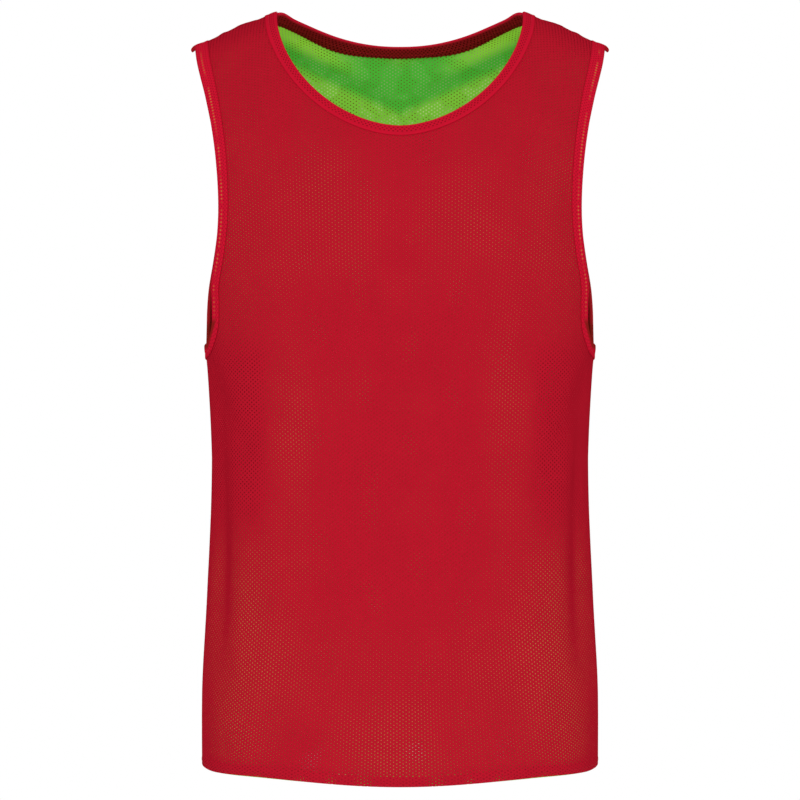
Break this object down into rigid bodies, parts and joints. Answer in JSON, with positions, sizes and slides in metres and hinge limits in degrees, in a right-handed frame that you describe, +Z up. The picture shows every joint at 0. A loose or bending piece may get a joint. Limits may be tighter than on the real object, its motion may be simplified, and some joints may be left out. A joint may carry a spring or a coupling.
{
  "type": "reversible training bib",
  "caption": "Sleeveless scoop-neck training bib in open mesh, red outside and lime green inside, with bound neck and armholes, shown filled out as worn.",
  "frame": {"origin": "midway between the two neck points, on top of the shoulder seams where the wearer's shoulders carry the bib", "axes": "+Z up, -Y the front of the bib, +X the wearer's left"},
  "size_m": [0.3892, 0.2701, 0.7128],
  "materials": {
    "red_mesh": "matte open mesh",
    "lime_mesh": "matte open mesh",
    "red_binding": "smooth knitted tape"
  },
  "bodies": {
    "root": {"outer_front": "red_mesh", "outer_back": "red_mesh", "inner_front": "lime_mesh", "inner_back": "lime_mesh", "neck_binding": "red_binding", "armhole_binding_left": "red_binding", "armhole_binding_right": "red_binding"}
  },
  "joints": []
}
